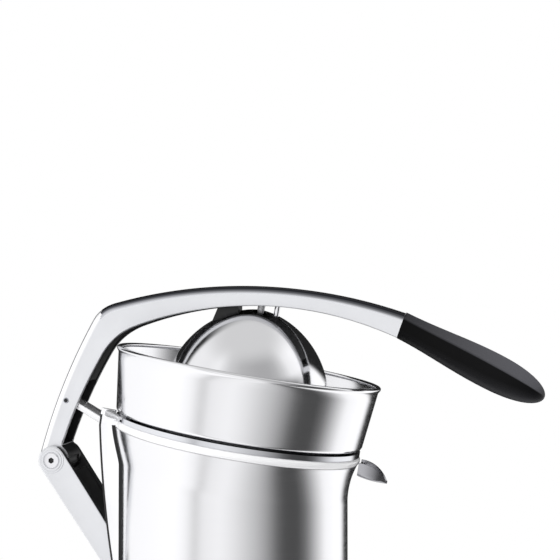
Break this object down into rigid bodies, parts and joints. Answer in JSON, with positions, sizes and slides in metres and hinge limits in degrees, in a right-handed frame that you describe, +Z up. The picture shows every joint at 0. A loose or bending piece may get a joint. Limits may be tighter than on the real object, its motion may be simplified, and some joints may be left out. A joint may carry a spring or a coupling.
{
  "type": "citrus press juicer",
  "caption": "Tall lever citrus press with a tilted steel bowl, a domed presser on a folding arm, a motor-driven cone and a tilting pouring spout.",
  "frame": {"origin": "middle of the base pad's underside, on the table", "axes": "+X towards the spout and the grip, +Z up; the arm swings in the XZ plane"},
  "size_m": [0.3436, 0.202, 0.377],
  "materials": {
    "brushed_steel": "brushed round the axis",
    "polished_edge": "polished",
    "white_gloss": "glossy white",
    "die_cast": "fine satin die cast",
    "soft_touch": "soft-touch black",
    "black_plastic": "black, fine texture",
    "dark_bowl": "smoke grey, glossy",
    "rubber": "matt black",
    "plated_steel": "zinc plated, satin",
    "polished_pin": "polished",
    "spring_steel": "oiled wire",
    "bearing_bronze": "sintered bronze",
    "gear_plastic": "natural acetal",
    "cone_plastic": "white, glossy",
    "strainer_steel": "satin",
    "motor_steel": "grey zinc",
    "plate_steel": "galvanised sheet",
    "pinion_brass": "turned"
  },
  "bodies": {
    "base": {"base_pad": "rubber", "base_plate": "black_plastic", "base_screws": "plated_steel", "cord_gland": "rubber", "rear_post": "plate_steel", "body_shell": "brushed_steel", "collar_ring": "white_gloss", "top_deck": "polished_edge", "deck_screws": "plated_steel", "spine_bracket": "die_cast", "spine_screws": "plated_steel", "foot_pin": "polished_pin", "foot_pin_clips": "spring_steel", "lift_spring": "spring_steel", "gear_plate": "plate_steel", "gear_posts": "plated_steel", "plate_screws": "plated_steel", "motor": "motor_steel", "motor_screws": "plated_steel", "idler_axle": "polished_pin", "spindle_bush": "bearing_bronze", "press_guide": "black_plastic", "press_spring": "spring_steel", "start_switch": "black_plastic", "bowl_ring": "brushed_steel", "juice_bowl": "dark_bowl", "outlet_seal": "rubber", "strainer": "strainer_steel", "drain_chute": "dark_bowl", "spout_pin": "polished_pin"},
    "strut": {"strut": "die_cast", "strut_cover": "black_plastic", "hinge_pin": "polished_pin", "hinge_screws": "polished_pin"},
    "arm": {"arm": "die_cast", "arm_liner": "black_plastic", "grip": "soft_touch", "grip_core": "plate_steel", "link_pin": "polished_pin", "hinge_bushes": "bearing_bronze", "dome": "brushed_steel", "dome_saddle": "black_plastic", "dome_stud": "plated_steel", "dome_prop": "polished_pin"},
    "link": {"link_bar": "die_cast", "slot_pin": "polished_pin"},
    "carriage": {"thrust_cup": "gear_plastic"},
    "cone": {"spindle": "polished_pin", "spindle_gear": "gear_plastic", "juicing_cone": "cone_plastic"},
    "idler": {"idler_gear": "gear_plastic"},
    "rotor": {"motor_pinion": "pinion_brass"},
    "spout": {"spout": "brushed_steel"}
  },
  "joints": [
    {"name": "strut_swing", "type": "hinge", "parent": "base", "child": "strut", "pos_m": [-0.06549, 0, 0.17075], "axis": [0, -1, 0], "range_deg": [-20, 0], "deforming": ["lift_spring"]},
    {"name": "arm_lift", "type": "hinge", "parent": "strut", "child": "arm", "pos_m": [-0.1242, 0, 0.2578], "axis": [0, -1, 0], "range_deg": [0, 73]},
    {"name": "link_turn", "type": "hinge", "parent": "arm", "child": "link", "pos_m": [-0.1158, 0, 0.2985], "axis": [0, -1, 0], "range_deg": [-53, 0]},
    {"name": "cone_press", "type": "slide", "parent": "base", "child": "carriage", "axis": [-0.165, 0, -0.9863], "range_m": [0, 0.0015], "stiffness_N_per_m": 6000, "springref_m": -0.001, "deforming": ["press_spring"]},
    {"name": "cone_spin", "type": "hinge", "parent": "carriage", "child": "cone", "pos_m": [0.01, 0, 0.323], "axis": [0.165, 0, 0.9863], "continuous": true},
    {"name": "idler_spin", "type": "hinge", "parent": "base", "child": "idler", "pos_m": [-0.00612, 0.03704, 0.26223], "axis": [0.165, 0, 0.9863], "continuous": true},
    {"name": "rotor_spin", "type": "hinge", "parent": "base", "child": "rotor", "pos_m": [0.02187, 0.03442, 0.24842], "axis": [0.165, 0, 0.9863], "continuous": true},
    {"name": "spout_tilt", "type": "hinge", "parent": "base", "child": "spout", "pos_m": [0.08673, 0, 0.25683], "axis": [0, -1, 0], "range_deg": [0, 30]}
  ],
  "couplings": [
    {"joint": "strut_swing", "follows": "arm_lift", "ratio": -0.27397},
    {"joint": "link_turn", "follows": "arm_lift", "ratio": -0.72603},
    {"joint": "idler_spin", "follows": "cone_spin", "ratio": -4},
    {"joint": "rotor_spin", "follows": "cone_spin", "ratio": 16}
  ]
}
